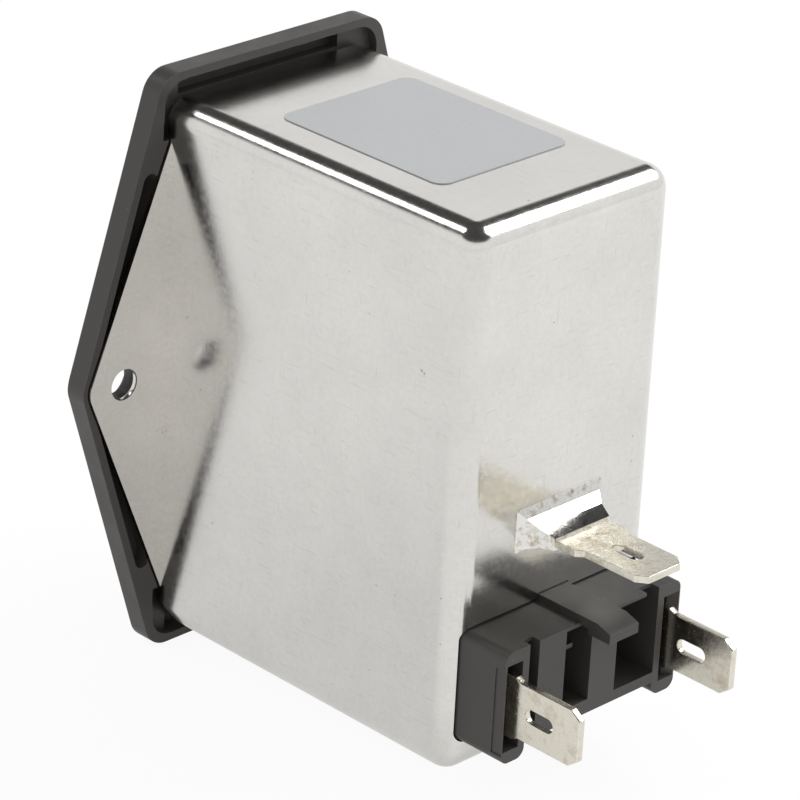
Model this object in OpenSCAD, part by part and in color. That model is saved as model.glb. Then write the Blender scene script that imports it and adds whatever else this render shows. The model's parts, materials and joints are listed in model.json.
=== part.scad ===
// Panel-mounted power entry filter: inlet, two-fuse drawer, two-pole rocker switch and mains filter in one steel can.
// The panel's front face is y = 0, the front looks towards -Y, +Z is up, and the two screws stand at x = +/-20.

/* [Can] */
// Gap between the plug recess's wall and the can's side
side_gap = 0.25; // [0.15:0.05:1]
// Depth of the can behind the panel face
can_d = 43.4; // [43:0.1:48]
// Outside radius of the can's edges
can_r = 2.5; // [1.6:0.1:3]
// Thickness of the tinned steel sheet
sheet_t = 0.6; // [0.5:0.05:0.7]
// Distance from a screw hole to its ear's sharp tip
ear_end = 4.8; // [4.4:0.1:5.4]
// Distance from the can's top to the upper end of an ear
ear_drop = 4.4; // [3.6:0.1:8]
// Rounding of an ear's tip
ear_tip_r = 2.5; // [1:0.1:4]

/* [Panel screws] */
// Distance between the two screw holes
hole_pitch = 40; // [39.5:0.1:40.2]
// Diameter of the screw holes
hole_d = 3.5; // [3.2:0.1:4]
// Diameter of the countersink for the screw heads
head_d = 6.4; // [5.6:0.1:7]

/* [Bezel] */
// How far the bezel's corners stand out beyond the can's side
bezel_side = 0.95; // [0.8:0.05:2]
// How far the bezel stands out above and below the can
bezel_over = 2.9; // [2.5:0.1:4]
// Distance from an ear's sharp tip to the bezel's
bezel_lip = 0.65; // [0.6:0.05:1.2]
// Thickness of the bezel from its front face to its rear rim
bezel_t = 3.2; // [3:0.1:4]
// Rounding of the bezel's corners
bezel_r = 3; // [2:0.1:4]
// Chamfer around the bezel's front face
bezel_chamfer = 0.7; // [0.3:0.05:1]
// Height of the rear rim behind the seat of the ears
rim_step = 0.3; // [0.1:0.05:0.5]
// Width of the rear rim
rim_w = 0.95; // [0.8:0.05:1.2]
// Width of the long pockets beside the ears
pocket_w = 2; // [1.2:0.1:2.4]
// Depth of the rear pockets
pocket_d = 2; // [0.8:0.1:2.2]
// Depth of the gutter around the can's front edge
gutter_d = 0.8; // [0.5:0.1:1.2]
// Thickness of the moulding's inner walls
wall = 1.1; // [0.9:0.05:1.2]
// Thickness of the front wall
front_wall = 1.6; // [1.2:0.1:1.9]
// Depth of the spigot behind the panel face
spigot_d = 3; // [2:0.1:5]

/* [Inlet] */
// Width of the plug recess
inlet_w = 24.6; // [24.2:0.1:24.8]
// Height of the plug recess
inlet_h = 16.6; // [16.2:0.1:16.9]
// Depth of the plug recess from the bezel's front face
inlet_d = 17; // [16:0.1:18]
// Bevel of the two upper corners of the recess
inlet_bevel = 4.6; // [4:0.1:5.5]
// Height of the recess's lower edge above the can's bottom
inlet_low = 2.7; // [2.5:0.1:4]
// Distance of the line and neutral pins from the middle
pin_x = 7; // [6.8:0.1:7.2]
// Offset of the earth pin from the line of the other two
pin_offset = 4; // [3.6:0.1:4.4]
// Width of a pin
pin_w = 2; // [1.8:0.1:2.2]
// Height of a pin's section
pin_h = 4; // [3.6:0.1:4.4]
// Free length of the line and neutral pins
pin_len = 14.1; // [13:0.1:15]
// Free length of the earth pin
earth_pin_len = 16; // [15:0.1:16.4]
// Thickness of the inlet's back wall
inlet_base = 3; // [2:0.1:3.4]

/* [Fuse drawer] */
// Distance between the plug recess and the drawer's front plate
drawer_gap = 2.1; // [1.9:0.1:4]
// Distance of the fuses' axes below the middle of the front plate
fuse_drop = 0.2; // [0:0.1:0.5]
// Distance of the fuses behind the front plate
fuse_in = 2.6; // [2:0.1:4]
// Distance of each fuse from the middle
fuse_x = 4.8; // [4.4:0.1:5.2]
// Diameter of a fuse's end caps
fuse_cap_d = 5.2; // [5:0.1:5.4]
// Length of a fuse
fuse_len = 20; // [19.5:0.1:20.2]
// Length of an end cap
fuse_cap_len = 5; // [4:0.1:6]
// Width of the drawer's front plate
drawer_w = 21.2; // [20.8:0.1:21.6]
// Height of the drawer's front plate
drawer_h = 10.4; // [10:0.1:10.5]
// How far the plate stands in front of the bezel
drawer_proud = 0.8; // [0.2:0.1:1.5]
// Thickness of the tray's walls
tray_t = 1; // [0.8:0.1:1.1]
// Thickness of the spring leaves
leaf_t = 0.4; // [0.3:0.05:0.5]
// Width of the spring leaves
leaf_w = 3; // [2.4:0.1:3.4]

/* [Rocker switch] */
// Distance between the drawer's front plate and the switch housing
switch_gap = 1.5; // [1.4:0.1:3]
// Distance between the switch housing and the can's top
switch_top = 2.1; // [2:0.1:4]
// Width of the switch housing
switch_w = 21.2; // [20.8:0.1:21.6]
// Height of the switch housing
switch_h = 24.6; // [24.4:0.1:24.8]
// Thickness of the frame in front of the bezel
frame_t = 0.8; // [0.5:0.1:1.2]
// How far that frame reaches over the bezel
frame_lip = 0.8; // [0.5:0.1:1]
// Distance of the rocker's axis behind the frame's face
pivot_in = 5; // [4.8:0.1:5.4]
// Height of the housing's rim beyond the rocker's end
rocker_rim = 1.1; // [1:0.05:1.4]
// Width of the housing's frame beside the rocker
rocker_side = 1.8; // [1.7:0.1:2.4]
// Thickness of the switch's base
base_t = 3; // [2.4:0.1:4]
// Width of the switch's terminals
blade_w = 4.8; // [4:0.1:5.2]
// Tilt of the rocker to each side
rocker_tilt = 10; // [8:0.5:11]
// Radius of the rocker's trunnions
trunnion_r = 1.2; // [0.9:0.1:1.5]
// Distance of each pole from the middle
pole_x = 5; // [4.8:0.1:5.2]

/* [Terminal block] */
// Distance from the can's side to the block's side
block_in = 1.4; // [1.3:0.1:2.4]
// Height of the block
block_h = 12.7; // [12:0.1:14]
// Height of the block's bottom above the can's bottom
block_up = 3.9; // [3.6:0.1:5]
// How far the two compartments reach below the block's middle
bay_drop = 1.6; // [0.8:0.1:2.4]
// Distance of the block's rear face behind the can
block_out = 6.1; // [5.5:0.1:8]
// Width of a compartment with its two side walls
bay_w = 3.35; // [3.2:0.05:3.6]
// Thickness of a compartment's inner wall
bay_wall = 0.9; // [0.7:0.05:1]
// Width of the tongue on top of the block
tongue_w = 4.2; // [3:0.1:5]
// Reach of the tongue behind the block
tongue_out = 3.9; // [3:0.1:6]

/* [Tabs] */
// Width of a tab's blade
tab_w = 6.3; // [6:0.1:6.4]
// Thickness of a tab
tab_t = 0.8; // [0.7:0.05:0.85]
// Reach of the line and neutral tabs behind the block
tab_out = 9.1; // [8:0.1:10]
// Distance of a tab's middle from the block's side
tab_in = 1.55; // [1.45:0.05:1.7]
// Length of the slot in a blade
tab_slot = 3.8; // [3:0.1:4.2]
// Width of the slot in a blade
tab_slot_w = 1.6; // [1.4:0.1:1.8]
// Height of the earth tab's middle above the block's top face
earth_up = 8.25; // [7.5:0.05:10]
// Reach of the earth tab behind the can
earth_out = 14.6; // [13:0.1:16]
// Width of the opening the earth tab is soldered into
earth_gap_w = 12.4; // [10:0.1:13]
// Height of that opening
earth_gap_h = 5; // [4.6:0.1:5.4]
// How far the opening's middle lies above the earth tab's
earth_gap_up = 0.7; // [0:0.1:1]
// Reach of the solder behind the can
solder_out = 3.4; // [2.4:0.1:4]

/* [Filter] */
// Thickness of the circuit board
board_t = 1.6; // [1.4:0.1:1.8]
// Radius of the choke core's middle line
choke_r = 7; // [6.9:0.1:7.2]
// Radial width of the choke core
choke_sec = 3.6; // [3:0.1:3.6]
// Thickness of the choke core
choke_len = 5; // [4:0.1:5]
// Diameter of the winding wire
wire_d = 0.9; // [0.85:0.05:0.95]
// Number of turns on each winding
turns = 9; // [7:2:9]
// Length of the mains capacitor
xcap_w = 17.5; // [15:0.1:18]
// Thickness of the mains capacitor
xcap_t = 5.6; // [5:0.1:5.8]
// Room between the mains capacitor and the can's rear wall
xcap_room = 2.9; // [1:0.1:5]
// Diameter of the disc capacitors
ycap_d = 7.5; // [6:0.1:7.6]
// Thickness of the disc capacitors
ycap_t = 3.2; // [2.6:0.1:3.6]
// Length of the discharge resistor
bleed_l = 6.5; // [6:0.1:8]
// Diameter of the discharge resistor
bleed_d = 2.4; // [2:0.1:3]

/* [Label] */
// Width of the label
label_w = 18.5; // [16:0.1:19]
// Length of the label
label_l = 23.3; // [20:0.1:24]
// Thickness of the label
label_t = 0.1; // [0.08:0.01:0.15]
// Distance of the label's middle from the can's rear
label_back = 22.25; // [15:0.05:26]
// Offset of the label towards the neutral side
label_off = 0.75; // [0:0.05:3]

/* [Fits] */
// Gap around a part that sits in another
fit = 0.1; // [0.05:0.01:0.12]
// Radial gap of a running pivot
run = 0.05; // [0.03:0.01:0.08]
// Gap between a spring leaf and the cap it presses on
leaf_gap = 0.3; // [0.25:0.01:0.35]

/* [Hidden] */
$fn = 48;

eps = 0.01;
can_w = inlet_w + 2 * (wall + side_gap + sheet_t);
can_h = inlet_low + inlet_h + drawer_gap + drawer_h + switch_gap + switch_h + switch_top;
ear_tip = hole_pitch / 2 + ear_end;
ear_root = can_h / 2 - ear_drop;
bezel_w = can_w + 2 * bezel_side;
bezel_h = can_h + 2 * bezel_over;
bezel_tip = ear_tip + bezel_lip;

seat_y = -sheet_t;
rim_y = seat_y + rim_step;
front_y = rim_y - bezel_t;
in_w = can_w - 2 * sheet_t;
in_h = can_h - 2 * sheet_t;
rear_in = can_d - sheet_t;

inlet_z = -can_h / 2 + inlet_low + inlet_h / 2;
inlet_floor = front_y + inlet_d;
cup_y = inlet_floor + inlet_base;
pin_z = inlet_z - pin_offset / 2;
earth_pin_z = inlet_z + pin_offset / 2;

plate_z = inlet_z + inlet_h / 2 + drawer_gap + drawer_h / 2;
plate_back = front_y + front_wall - 0.1;
fuse_z = plate_z - fuse_drop;
fuse_y = plate_back + fuse_in;
fuse_end = fuse_y + fuse_len;
cap_r = fuse_cap_d / 2;
glass_r = cap_r - 0.2;
tray_w = drawer_w - 2.4;
tray_low = fuse_z - cap_r - 0.1 - tray_t;
tray_top = fuse_z + cap_r - 0.6;
tray_end = fuse_end + 0.1 + tray_t;
well_w = tray_w + 0.4;
well_low = tray_low - 0.2;
well_top = fuse_z + cap_r + 2;
well_y = tray_end + 0.6;
leaf_z = fuse_z + cap_r + leaf_gap;
clip_y = fuse_y + fuse_cap_len + 0.3;
link_y = well_y + wall + 0.6;

switch_z = plate_z + drawer_h / 2 + switch_gap + switch_h / 2;
frame_y = front_y - frame_t;
pivot_y = frame_y + pivot_in;
rocker_r = switch_h / 2 - rocker_rim;
rocker_w = switch_w - 2 * rocker_side;
cavity_w = rocker_w + 0.4;
cavity_r = rocker_r + 0.15;
base_y = pivot_y + rocker_r + 0.1;
base_end = base_y + base_t;
lever_y = base_y - 1.75;
lever_tilt = rocker_tilt / 2;
contact_z = rocker_r * 0.67;
cheek = rocker_r * 0.625;
valley = pivot_in + 0.2;
under = valley - 1.9;
post_r = 1.9;
plunger_r = 1.15;
plunger_reach = lever_y - pivot_y - 1.05;
plunger_back = 1.6;
common_end = base_end + 4;

board_y = max(link_y + leaf_t + 2.6, common_end + 3);
board_w = in_w - 0.9;
board_h = in_h - 0.9;
back_y = board_y + board_t;

block_y = can_d + block_out;
block_w = can_w - 2 * block_in;
block_low = block_up - can_h / 2;
block_top = block_low + block_h;
block_mid = block_low + bay_drop;
block_gap = 0.2;
plate_t = 1.2;
bay_in = block_w / 2 - bay_w;
web = bay_in - 5.3;
bay_low = block_low + 1.4;
bay_high = block_top - 1.45;
bay_edge = block_w / 2 - 0.45;
tab_x = block_w / 2 - tab_in;
tab_z = (block_low + block_top) / 2;
tab_root = tab_w + 0.8;
earth_z = block_top + earth_up;
gap_z = earth_z + earth_gap_up;
tongue_top = block_top + 0.7;
tongue_low = block_top - 1;

strap_t = 0.6;
strap_y = max(link_y, cup_y + 1);
earth_tail_w = 3;
earth_root = 7.6;
turn_r = norm([choke_sec / 2, choke_len / 2]) + wire_d / 2 + 0.05;
choke_y = back_y + turn_r + wire_d / 2 + 0.3;
xcap_z = earth_z + tab_t / 2 + 1.7 + xcap_t / 2;
xcap_h = rear_in - back_y - 0.3 - xcap_room;
choke_z = xcap_z + xcap_t / 2 + 0.4 + wire_d / 2 + turn_r + choke_r;
ycap_x = board_w / 2 - 6.7;
ycap_z = earth_z - tab_t / 2 - 2.6 - ycap_t / 2;
bleed_y = back_y + bleed_d / 2 + 0.4;
bleed_z = tab_z + tab_w / 2 - 0.15;

// ---------- helpers ----------

// Extrudes an x-z outline along y
module along_y(y0, y1) {
  translate([0, y1, 0])
    rotate([90, 0, 0])
      linear_extrude(height = y1 - y0)
        children();
}

// Extrudes a y-z outline along x
module along_x(x0, x1) {
  translate([x0, 0, 0])
    rotate([90, 0, 90])
      linear_extrude(height = x1 - x0)
        children();
}

// Box from one corner to the other
module box(a, b) {
  translate(a)
    cube(b - a);
}

// Rounded rectangle about the middle
module round_rect(w, h, r) {
  square([w - 2 * r, h], center = true);
  square([w, h - 2 * r], center = true);
  for (sx = [-1, 1], sy = [-1, 1])
    translate([sx * (w / 2 - r), sy * (h / 2 - r)])
      circle(r);
}

// Cylinder along y
module rod_y(x, z, y0, y1, r) {
  translate([x, y0, z])
    rotate([-90, 0, 0])
      cylinder(h = y1 - y0, r = r);
}

// Cylinder along x
module rod_x(y, z, x0, x1, r) {
  translate([x0, y, z])
    rotate([0, 90, 0])
      cylinder(h = x1 - x0, r = r);
}

function unit(v) = v / norm(v);
function turn_back(p, i) = p[(i + len(p) - 1) % len(p)];
function turn_on(p, i) = p[(i + 1) % len(p)];
function half_angle(p, i) = acos(unit(turn_back(p, i) - p[i]) * unit(turn_on(p, i) - p[i])) / 2;
function arc_centre(p, i, r) =
  p[i] + unit(unit(turn_back(p, i) - p[i]) + unit(turn_on(p, i) - p[i])) * r / sin(half_angle(p, i));
function arc_start(p, i, r) = p[i] + unit(turn_back(p, i) - p[i]) * r / tan(half_angle(p, i));
function arc_end(p, i, r) = p[i] + unit(turn_on(p, i) - p[i]) * r / tan(half_angle(p, i));

// Convex outline with every corner rounded
module round_poly(p, r) {
  polygon([for (i = [0 : len(p) - 1], k = [0, 1]) k == 0 ? arc_start(p, i, r) : arc_end(p, i, r)]);
  for (i = [0 : len(p) - 1])
    translate(arc_centre(p, i, r))
      circle(r);
}

function shrink(v, by) = [v[0] - sign(v[0]) * by, v[1] - sign(v[1]) * by];
function bezel_points(by) = [
  shrink([bezel_w / 2, bezel_h / 2], by), shrink([-bezel_w / 2, bezel_h / 2], by),
  shrink([-bezel_tip, 0], by), shrink([-bezel_w / 2, -bezel_h / 2], by),
  shrink([bezel_w / 2, -bezel_h / 2], by), shrink([bezel_tip, 0], by)
];

// Both ears in one outline, widened by a margin
module ear_outline(grow) {
  span = ear_root * ear_tip / (ear_tip - can_w / 2);
  side = norm([ear_tip, span]);
  tip = ear_tip + grow * side / span;
  top = span + grow * side / ear_tip;
  round_poly([[tip, 0], [0, top], [-tip, 0], [0, -top]], ear_tip_r);
}

// Closed rounded box, open shape at its front end
module drawn_box(w, h, y0, y1, r) {
  along_y(y0, y1 - r)
    round_rect(w, h, r);
  box([-w / 2 + r, y0, -h / 2 + r], [w / 2 - r, y1, h / 2 - r]);
  for (s = [-1, 1]) {
    rod_x(y1 - r, s * (h / 2 - r), -w / 2 + r, w / 2 - r, r);
    translate([s * (w / 2 - r), y1 - r, -h / 2 + r])
      cylinder(h = h - 2 * r, r = r);
    for (t = [-1, 1])
      translate([s * (w / 2 - r), y1 - r, t * (h / 2 - r)])
        sphere(r);
  }
}

// Outline of the block and its two deeper compartments
module block_outline(grow) {
  translate([0, (block_top + block_mid) / 2])
    square([2 * bay_in + 2, block_top - block_mid + 2 * grow], center = true);
  for (s = [-1, 1])
    translate([s * (block_w / 2 + bay_in) / 2, (block_top + block_low) / 2])
      round_rect(block_w / 2 - bay_in + 2 * grow, block_top - block_low + 2 * grow, 1.1 + grow);
}

// Tab outline in its own plane, from the tail's end u0 over the root (u1 to u2) to the tip u3
module tab_outline(u0, tail, u1, root, u2, u3, slot_u) {
  half = [[u0, tail / 2], [u1, tail / 2], [u1, root / 2], [u2, root / 2], [u2 + 0.7, tab_w / 2],
          [u3 - 1.2, tab_w / 2], [u3, tab_w / 2 - 0.9]];
  difference() {
    polygon(concat([for (i = [0 : len(half) - 1]) [half[i][0], -half[i][1]]],
                   [for (i = [len(half) - 1 : -1 : 0]) half[i]]));
    for (s = [-1, 1])
      translate([slot_u + s * (tab_slot - tab_slot_w) / 2, 0])
        circle(tab_slot_w / 2);
    translate([slot_u, 0])
      square([tab_slot - tab_slot_w, tab_slot_w], center = true);
  }
}

// ---------- can and bezel ----------

module can() {
  color([0.8, 0.79, 0.77])
    difference() {
      union() {
        drawn_box(can_w, can_h, seat_y, can_d, can_r);
        along_y(seat_y, 0)
          intersection() {
            ear_outline(0);
            square([2 * ear_tip, 2 * ear_root], center = true);
          }
      }
      drawn_box(in_w, in_h, seat_y - 1, rear_in, can_r - sheet_t);
      for (s = [-1, 1])
        rod_y(s * hole_pitch / 2, 0, seat_y - 1, 1, hole_d / 2);
      along_y(rear_in - can_r, can_d + 1)
        block_outline(block_gap);
      box([-tongue_w / 2 - block_gap, rear_in - 1, block_top - 1],
          [tongue_w / 2 + block_gap, can_d + 1, tongue_top + block_gap / 2]);
      along_y(rear_in - 1, can_d + 1)
        translate([0, gap_z])
          round_rect(earth_gap_w, earth_gap_h, 0.5);
    }
}

module bezel_pockets() {
  edge = [bezel_tip - bezel_w / 2, -bezel_h / 2];
  lean = atan2(edge[1], edge[0]);
  inside = rim_w + pocket_w / 2;
  reach = norm(edge);
  for (sx = [0, 1], sz = [0, 1])
    mirror([sx, 0, 0])
      mirror([0, 0, sz])
        along_y(rim_y - pocket_d, rim_y + 1)
          translate([bezel_w / 2, bezel_h / 2])
            rotate(lean)
              translate([reach * 0.58, -inside])
                round_rect(reach * 0.57, pocket_w, pocket_w / 2 - 0.01);
}

module bezel_gutter() {
  gutter_w = bezel_w - 0.4;
  gutter_h = bezel_h - 2 * rim_w;
  difference() {
    along_y(seat_y - gutter_d, rim_y + 1)
      round_rect(gutter_w, gutter_h, 2.6);
    box([-bezel_w, front_y, -ear_root - 0.2], [bezel_w, 1, ear_root + 0.2]);
    along_y(front_y, seat_y)
      round_rect(in_w - 0.4, in_h - 0.4, 1.6);
  }
  difference() {
    for (s = [-1, 1])
      along_y(rim_y - pocket_d - 0.4, rim_y + 1)
        translate([0, s * (can_h / 2 + gutter_h / 2) / 2])
          square([gutter_w - 5.4, gutter_h / 2 - can_h / 2 + 0.1], center = true);
    box([1.85 - can_w / 2, front_y, can_h / 2 - 1], [4.05 - can_w / 2, seat_y - 0.05, bezel_h / 2]);
  }
  for (sx = [-1, 1], sz = [-1, 1])
    box([sx * (can_w / 2 + 0.45) - 0.4, seat_y - pocket_d, sz * (ear_root + 1.2) - 1],
        [sx * (can_w / 2 + 0.45) + 0.4, rim_y, sz * (ear_root + 1.2) + 1]);
}

// Outline of the plug recess
module inlet_outline(grow) {
  w = inlet_w / 2 + grow;
  h = inlet_h / 2 + grow;
  round_poly([[w, h - inlet_bevel], [w - inlet_bevel, h], [inlet_bevel - w, h],
              [-w, h - inlet_bevel], [-w, -h], [w, -h]], 1 + grow);
}

// Front plate with everything that is sunk into its back
module bezel_flange() {
  difference() {
    union() {
      along_y(front_y + bezel_chamfer, rim_y)
        round_poly(bezel_points(0), bezel_r);
      hull() {
        along_y(front_y + bezel_chamfer, front_y + bezel_chamfer + 0.1)
          round_poly(bezel_points(0.03), bezel_r);
        along_y(front_y, front_y + 0.1)
          round_poly(bezel_points(bezel_chamfer), bezel_r - 0.5);
      }
    }
    // seat of the ears
    along_y(seat_y, rim_y + 1)
      intersection() {
        ear_outline(0.15);
        square([2 * ear_tip + 2, 2 * ear_root + 0.3], center = true);
      }
    along_y(seat_y, rim_y + 1)
      round_rect(can_w + 2 * fit, can_h + 2 * fit, can_r);
    bezel_pockets();
    bezel_gutter();
    // hollow behind the front wall, inside the can
    along_y(front_y + front_wall, rim_y + 1)
      round_rect(in_w - 2 * fit - 2 * wall, in_h - 2 * fit - 2 * wall, 0.6);
  }
}

// Walls that stand inside the can: spigot, inlet cup, fuse well and switch frame
module bezel_walls() {
  difference() {
    along_y(seat_y - 1.5, spigot_d)
      round_rect(in_w - 2 * fit, in_h - 2 * fit, 1.7);
    along_y(front_y, spigot_d + 1)
      round_rect(in_w - 2 * fit - 2 * wall, in_h - 2 * fit - 2 * wall, 0.6);
  }
  along_y(front_y + 1, cup_y)
    translate([0, inlet_z])
      square([inlet_w + 2 * wall, inlet_h + 2 * wall], center = true);
  box([-drawer_w / 2 - wall, front_y + 1, plate_z - drawer_h / 2 - wall],
      [drawer_w / 2 + wall, plate_back + 1.5, plate_z + drawer_h / 2 + wall]);
  box([-well_w / 2 - wall, plate_back, well_low - wall], [well_w / 2 + wall, well_y + wall, well_top + wall]);
  box([-switch_w / 2 - wall, front_y + 1, switch_z - switch_h / 2 - wall],
      [switch_w / 2 + wall, spigot_d + 1, switch_z + switch_h / 2 + wall]);
}

module bezel() {
  color([0.09, 0.085, 0.08])
    difference() {
      union() {
        bezel_flange();
        bezel_walls();
      }
      // panel screws
      for (s = [-1, 1]) {
        rod_y(s * hole_pitch / 2, 0, front_y - 1, 1, hole_d / 2);
        translate([s * hole_pitch / 2, front_y - eps, 0])
          rotate([-90, 0, 0])
            cylinder(h = (head_d - hole_d) / 2 + eps, r1 = head_d / 2 + eps, r2 = hole_d / 2);
      }
      // plug recess and the slots of its pins
      along_y(front_y - 1, inlet_floor)
        translate([0, inlet_z])
          inlet_outline(0);
      for (s = [-1, 1])
        box([s * pin_x - pin_w / 2 - fit, inlet_floor - 1, pin_z - pin_h / 2 - fit],
            [s * pin_x + pin_w / 2 + fit, cup_y + 1, pin_z + pin_h / 2 + fit]);
      box([-pin_w / 2 - fit, inlet_floor - 1, earth_pin_z - pin_h / 2 - fit],
          [pin_w / 2 + fit, cup_y + 1, earth_pin_z + pin_h / 2 + fit]);
      // fuse well, its wide mouth and the slots of the spring leaves
      box([-well_w / 2, front_y - 1, well_low], [well_w / 2, well_y, well_top]);
      box([-drawer_w / 2 - 0.15, front_y - 1, plate_z - drawer_h / 2 - 0.15],
          [drawer_w / 2 + 0.15, plate_back + 0.1, plate_z + drawer_h / 2 + 0.15]);
      for (s = [-1, 1]) {
        box([s * fuse_x - leaf_w * 0.6, clip_y - 0.1, well_top - 1],
            [s * fuse_x + leaf_w * 0.6, clip_y + leaf_t + 0.1, well_top + wall + 1]);
        box([s * fuse_x - leaf_w * 0.6, well_y - 1, leaf_z - 0.1],
            [s * fuse_x + leaf_w * 0.6, well_y + wall + 1, leaf_z + leaf_t + 0.1]);
      }
      // window for the switch
      box([-switch_w / 2 - fit, front_y - 1, switch_z - switch_h / 2 - fit],
          [switch_w / 2 + fit, spigot_d + 2, switch_z + switch_h / 2 + fit]);
    }
}

module label() {
  color([0.66, 0.67, 0.68])
    translate([-label_off, can_d - label_back, can_h / 2])
      linear_extrude(height = label_t)
        round_rect(label_w, label_l, 1.5);
}

// ---------- terminal block and tabs ----------

module terminal_block() {
  deep = can_d + 0.4;
  color([0.09, 0.085, 0.08])
    difference() {
      union() {
        along_y(rear_in - plate_t, block_y)
          block_outline(0);
        // inner plate, rounded like the inside of the can
        intersection() {
          box([-in_w / 2, rear_in - plate_t, block_low - 1.2], [in_w / 2, rear_in, block_top + 1.4]);
          drawn_box(in_w - 0.1, in_h - 0.1, rear_in - 9, rear_in, can_r - sheet_t);
        }
        along_x(-tongue_w / 2, tongue_w / 2)
          polygon([[rear_in - plate_t, tongue_low], [rear_in - plate_t, tongue_top],
                   [block_y + tongue_out - 1.8, tongue_top],
                   [block_y + tongue_out, tongue_top - 0.6], [block_y + tongue_out, tongue_low]]);
      }
      for (s = [-1, 1]) {
        // compartment with a wide bevelled mouth on its outer wall
        along_y(deep, block_y + 1)
          polygon([[s * (bay_in + bay_wall), bay_low], [s * (bay_edge - 0.55), bay_low],
                   [s * (bay_edge - 0.55), bay_high], [s * (bay_in + bay_wall), bay_high]]);
        translate([0, 0, bay_low])
          linear_extrude(height = bay_high - bay_low)
            polygon([[s * (bay_edge - 0.6), block_y - 0.9], [s * (bay_edge - 0.55), block_y - 0.9],
                     [s * (bay_edge + 0.25), block_y - 0.1], [s * (bay_edge + 0.25), block_y + 1],
                     [s * (bay_edge - 0.6), block_y + 1]]);
        // slot for the tab's tail
        box([s * tab_x - tab_t / 2 - 0.05, rear_in - plate_t - 1, tab_z - tab_root / 2 - 0.05],
            [s * tab_x + tab_t / 2 + 0.05, deep + 1, tab_z + tab_root / 2 + 0.05]);
      }
      // relief on the outer wall
      box([block_w / 2 - 0.12, block_y - 1.4, bay_low - 0.3], [block_w / 2 + 1, block_y + 1, bay_high - 0.5]);
      // open pockets between the compartments
      box([bay_in - 1.4, deep + 1, block_mid + 1.5], [bay_in, block_y + 1, block_top - 0.4]);
      box([bay_in - 1.4, block_y - 1.1, block_mid + 1.5], [bay_in, block_y + 1, block_top + 1]);
      box([0.35, deep + 0.6, block_mid + 1.6], [web, block_y + 1, block_top - 0.4]);
      box([-bay_in, deep, block_mid + 1.2], [0.65 - web, block_y + 1, block_top - 0.4]);
      box([-bay_in, block_y - 1.2, block_mid + 1.2], [1.9 - bay_in, block_y + 1, block_top + 1]);
      // opening for the earth tab is above, so the plate stops short of it
      box([-earth_gap_w / 2, rear_in - plate_t - 1, block_top + 1], [earth_gap_w / 2, rear_in + 1, block_top + 1.4]);
    }
  color([0.09, 0.085, 0.08])
    box([web - 2.3, block_y - 2.2, block_top - 3.4], [web + eps, block_y - 1.2, block_top - 2.9]);
}

module load_tab(s) {
  color([0.83, 0.82, 0.77])
    along_x(s * tab_x - tab_t / 2, s * tab_x + tab_t / 2)
      translate([0, tab_z])
        tab_outline(back_y, 3, can_d + 0.2, tab_root, block_y + 0.3, block_y + tab_out, block_y + tab_out - 5.4);
}

module load_tab_line() {
  load_tab(1);
}

module load_tab_neutral() {
  load_tab(-1);
}

module earth_tab() {
  color([0.83, 0.82, 0.77])
    translate([0, 0, earth_z - tab_t / 2])
      linear_extrude(height = tab_t)
        rotate(90)
          tab_outline(strap_y + strap_t, earth_tail_w, can_d - 1.5, earth_root, can_d + earth_out - 8.6,
                      can_d + earth_out, can_d + earth_out - 5);
}

// Solder that fills the opening and climbs onto the tab
module earth_solder() {
  color([0.8, 0.79, 0.76])
    difference() {
      union() {
        along_y(rear_in - 0.3, can_d)
          translate([0, gap_z])
            round_rect(earth_gap_w - 0.04, earth_gap_h - 0.04, 0.48);
        solder_step(0, 1, 0, 0.206, 0.6, 0.29);
        solder_step(0.206, 0.6, 0.29, 0.53, 0.24, 0.64);
        solder_step(0.53, 0.24, 0.64, 1, 0, 1);
      }
      box([-earth_root / 2, rear_in - 1, earth_z - tab_t / 2],
          [earth_root / 2, can_d + solder_out + 1, earth_z + tab_t / 2]);
    }
}

// Thin slice of the solder: its place along the reach, its size between tab and opening, its drop to the tab
module solder_slice(along, size, drop) {
  w = (1 - size) * (earth_root + 0.4) + size * (earth_gap_w - 0.3);
  h = (1 - size) * (tab_t + 0.5) + size * (earth_gap_h - 0.3);
  y = can_d + along * solder_out;
  z = (1 - drop) * gap_z + drop * earth_z;
  box([-w / 2, y - eps, z - h / 2], [w / 2, y, z + h / 2]);
}

// Four-sided taper between two slices
module solder_step(along0, size0, drop0, along1, size1, drop1) {
  hull() {
    solder_slice(along0, size0, drop0);
    solder_slice(along1, size1, drop1);
  }
}

// ---------- inlet ----------

// Flat contact pin with a bevelled tip and a narrower tail
module inlet_pin(x, z, len) {
  tip = inlet_floor - len;
  color([0.82, 0.8, 0.74]) {
    intersection() {
      along_x(x - pin_w / 2, x + pin_w / 2)
        polygon([[cup_y, z - pin_h / 2], [cup_y, z + pin_h / 2], [tip + 1.4, z + pin_h / 2],
                 [tip, z + pin_h / 2 - 0.8], [tip, z - pin_h / 2 + 0.8], [tip + 1.4, z - pin_h / 2]]);
      translate([0, 0, z - pin_h])
        linear_extrude(height = 2 * pin_h)
          polygon([[x - pin_w / 2, cup_y], [x + pin_w / 2, cup_y], [x + pin_w / 2, tip + 1],
                   [x + pin_w / 2 - 0.6, tip], [x - pin_w / 2 + 0.6, tip], [x - pin_w / 2, tip + 1]]);
    }
    box([x - 0.5, cup_y - 1, z - 1.4], [x + 0.5, strap_y, z + 1.4]);
  }
}

module pin_line() {
  inlet_pin(pin_x, pin_z, pin_len);
}

module pin_neutral() {
  inlet_pin(-pin_x, pin_z, pin_len);
}

module pin_earth() {
  inlet_pin(0, earth_pin_z, earth_pin_len);
}

// Strip from the earth pin up to the earth tab's tail
module earth_strap() {
  color([0.83, 0.82, 0.77])
    box([-earth_tail_w / 2, strap_y, earth_pin_z - pin_h * 0.6],
        [earth_tail_w / 2, strap_y + strap_t, earth_z + tab_t * 1.5]);
}

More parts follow.
